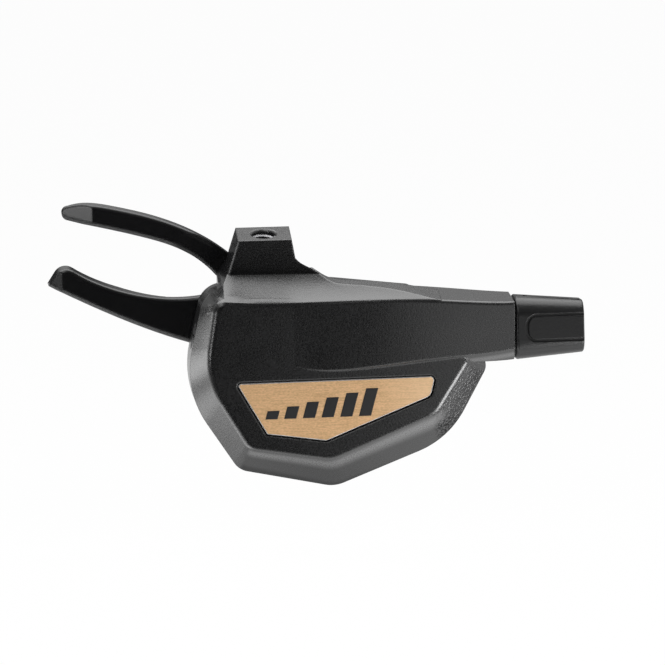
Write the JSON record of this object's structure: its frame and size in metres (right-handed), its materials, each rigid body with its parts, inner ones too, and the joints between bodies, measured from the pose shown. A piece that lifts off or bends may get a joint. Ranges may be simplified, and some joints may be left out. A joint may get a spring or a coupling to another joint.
{
  "type": "bicycle trigger gear shifter",
  "caption": "Trigger gear shifter for a flat handlebar: bevelled housing with a clamp pedestal, two thumb levers, cable spool with ratchet, and a cable adjuster knob.",
  "frame": {"origin": "start of the clamp thread, on its axis, just below the mouth on top of the pedestal", "axes": "+X along the cable towards the adjuster, +Z towards the handlebar, -Y out of the face with the badge"},
  "size_m": [0.1132, 0.0263, 0.0606],
  "materials": {
    "housing_satin": "satin grey paint with fine grain",
    "cover_black": "moulded black resin",
    "badge_gold": "brushed and anodised, bright chamfered edge",
    "plate_alloy": "sheet alloy, tumbled",
    "steel_bright": "turned and hardened steel",
    "screw_dark": "blackened steel",
    "spring_steel": "spring steel",
    "spool_resin": "glass-filled resin",
    "bush_resin": "plain bearing resin",
    "lever_black": "gloss black",
    "knob_grey": "satin moulded resin",
    "stem_alloy": "turned alloy",
    "sleeve_resin": "moulded resin"
  },
  "bodies": {
    "housing": {"front_housing": "housing_satin", "badge_plate": "badge_gold", "rear_cover": "cover_black", "base_plate": "plate_alloy", "main_axle": "steel_bright", "axle_nut": "steel_bright", "axle_washers": "steel_bright", "cover_screws": "screw_dark", "spool_spring": "spring_steel", "pull_lever_spring": "spring_steel", "release_lever_spring": "spring_steel", "holding_pawl_pin": "steel_bright", "holding_pawl_spring": "spring_steel", "detent_spring": "spring_steel", "cable_port_plug": "cover_black"},
    "pull_lever": {"pull_lever": "lever_black", "pull_lever_bush": "bush_resin", "drive_pawl_pin": "steel_bright", "drive_pawl_spring": "spring_steel"},
    "drive_pawl": {"drive_pawl": "steel_bright"},
    "release_lever": {"release_lever": "lever_black", "release_lever_bush": "bush_resin"},
    "spool": {"cable_spool": "spool_resin", "spool_bush": "bush_resin", "ratchet_wheel": "steel_bright"},
    "holding_pawl": {"holding_pawl": "steel_bright"},
    "detent_sleeve": {"detent_sleeve": "sleeve_resin"},
    "adjuster": {"adjuster_knob": "knob_grey", "adjuster_stem": "stem_alloy"}
  },
  "joints": [
    {"name": "pull_lever_swing", "type": "hinge", "parent": "housing", "child": "pull_lever", "pos_m": [0.008, 0, -0.033], "axis": [0, -1, 0], "range_deg": [0, 40], "stiffness_Nm_per_rad": 0.1, "springref_deg": -20.05, "deforming": ["pull_lever_spring", "spool_spring"]},
    {"name": "release_lever_swing", "type": "hinge", "parent": "housing", "child": "release_lever", "pos_m": [0.008, 0, -0.033], "axis": [0, -1, 0], "range_deg": [0, 9], "stiffness_Nm_per_rad": 0.1, "springref_deg": -20.05, "deforming": ["release_lever_spring"]},
    {"name": "drive_pawl_lift", "type": "hinge", "parent": "pull_lever", "child": "drive_pawl", "pos_m": [-0.00081, 0, -0.0165], "axis": [0, 1, 0], "range_deg": [0, 12], "stiffness_Nm_per_rad": 0.02, "springref_deg": -17.19, "deforming": ["drive_pawl_spring"]},
    {"name": "spool_turn", "type": "hinge", "parent": "housing", "child": "spool", "pos_m": [0.008, 0, -0.033], "axis": [0, -1, 0], "range_deg": [0, 150]},
    {"name": "holding_pawl_lift", "type": "hinge", "parent": "housing", "child": "holding_pawl", "pos_m": [0.02388, 0, -0.04289], "axis": [0, 1, 0], "range_deg": [0, 20], "deforming": ["holding_pawl_spring"]},
    {"name": "adjuster_turn", "type": "hinge", "parent": "detent_sleeve", "child": "adjuster", "pos_m": [0.053, 0, -0.02115], "axis": [1, 0, 0], "range_deg": [0, 1440]},
    {"name": "adjuster_travel", "type": "slide", "parent": "housing", "child": "detent_sleeve", "axis": [1, 0, 0], "range_m": [0, 0.004], "deforming": ["detent_spring"]}
  ],
  "couplings": [
    {"joint": "spool_turn", "follows": "pull_lever_swing", "ratio": 1},
    {"joint": "holding_pawl_lift", "follows": "pull_lever_swing", "ratio": 0.5},
    {"joint": "adjuster_turn", "follows": "adjuster_travel", "rad_per_m": 6283.2}
  ]
}
